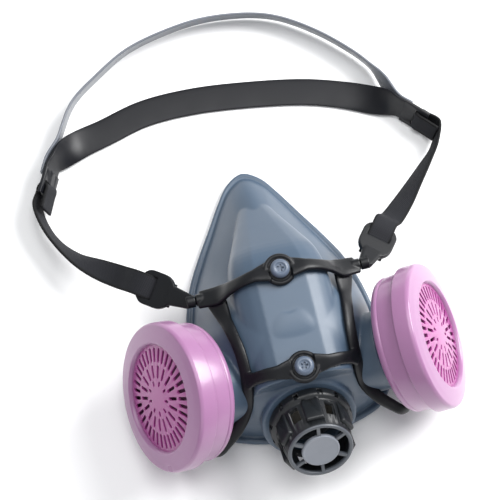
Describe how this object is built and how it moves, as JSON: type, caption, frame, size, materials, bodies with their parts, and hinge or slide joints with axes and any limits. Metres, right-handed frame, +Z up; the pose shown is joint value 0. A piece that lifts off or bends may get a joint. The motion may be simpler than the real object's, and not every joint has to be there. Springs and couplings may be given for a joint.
{
  "type": "half-mask respirator",
  "caption": "Half-mask respirator with a soft facepiece, two screw-on disc filters, an exhalation valve and a strap harness with a two-band cradle.",
  "frame": {"origin": "on the table under the middle of the whole object as it lies on its face seal with the harness laid out beyond the nose", "axes": "+Z up from the table, out of the front of the mask; +Y from the chin towards the nose and the harness; +X to the right of the picture"},
  "size_m": [0.2326, 0.2786, 0.0806],
  "materials": {
    "elastomer": "satin",
    "harness_plastic": "satin",
    "webbing": "woven",
    "band_plastic": "satin",
    "crown_plastic": "satin",
    "magenta_plastic": "satin",
    "filter_media": "felt",
    "guard_plastic": "semi-gloss",
    "insert_plastic": "satin",
    "flap_rubber": "satin",
    "gasket_rubber": "satin"
  },
  "bodies": {
    "mask": {"facepiece": "elastomer", "yoke": "harness_plastic", "exhalation_seat": "insert_plastic", "inlet_connector_left": "insert_plastic", "inlet_connector_right": "insert_plastic"},
    "exhalation_flap": {"exhalation_flap": "flap_rubber"},
    "exhalation_cover": {"exhalation_cover": "guard_plastic"},
    "harness": {"buckle_left": "harness_plastic", "buckle_right": "harness_plastic", "side_strap_left": "webbing", "side_strap_right": "webbing", "back_band": "band_plastic", "crown_band": "crown_plastic"},
    "left_inhalation_flap": {"inhalation_flap_left": "flap_rubber"},
    "left_gasket": {"filter_gasket_left": "gasket_rubber"},
    "left_filter": {"filter_body_left": "magenta_plastic", "filter_media_left": "filter_media", "filter_cover_left": "magenta_plastic"},
    "right_inhalation_flap": {"inhalation_flap_right": "flap_rubber"},
    "right_gasket": {"filter_gasket_right": "gasket_rubber"},
    "right_filter": {"filter_body_right": "magenta_plastic", "filter_media_right": "filter_media", "filter_cover_right": "magenta_plastic"}
  },
  "joints": [
    {"name": "left_filter_travel", "type": "slide", "parent": "mask", "child": "left_gasket", "axis": [-0.8819, -0.084, 0.4639], "range_m": [0, 0.0053]},
    {"name": "left_filter_turn", "type": "hinge", "parent": "left_gasket", "child": "left_filter", "pos_m": [-0.07315, -0.08364, 0.047], "axis": [-0.8819, -0.084, 0.4639], "range_deg": [0, 540]},
    {"name": "left_inhalation_flap_open", "type": "slide", "parent": "mask", "child": "left_inhalation_flap", "axis": [0.8819, 0.084, -0.4639], "range_m": [0, 0.0015], "stiffness_N_per_m": 20},
    {"name": "right_filter_travel", "type": "slide", "parent": "mask", "child": "right_gasket", "axis": [0.8819, -0.084, 0.4639], "range_m": [0, 0.0053]},
    {"name": "right_filter_turn", "type": "hinge", "parent": "right_gasket", "child": "right_filter", "pos_m": [0.07485, -0.08364, 0.047], "axis": [0.8819, -0.084, 0.4639], "range_deg": [0, 540]},
    {"name": "right_inhalation_flap_open", "type": "slide", "parent": "mask", "child": "right_inhalation_flap", "axis": [-0.8819, 0.084, -0.4639], "range_m": [0, 0.0015], "stiffness_N_per_m": 20},
    {"name": "exhalation_flap_open", "type": "slide", "parent": "mask", "child": "exhalation_flap", "axis": [0, -0.8291, 0.5591], "range_m": [0, 0.0015], "stiffness_N_per_m": 20},
    {"name": "exhalation_cover_pull", "type": "slide", "parent": "mask", "child": "exhalation_cover", "axis": [0, -0.8291, 0.5591], "range_m": [0, 0.008]},
    {"name": "harness_swing", "type": "hinge", "parent": "mask", "child": "harness", "pos_m": [0.00085, -0.03614, 0.045], "axis": [1, 0, 0], "range_deg": [-70, 70]}
  ],
  "couplings": [
    {"joint": "left_filter_travel", "follows": "left_filter_turn", "m_per_rad": 0.00055704},
    {"joint": "right_filter_travel", "follows": "right_filter_turn", "m_per_rad": 0.00055704}
  ]
}
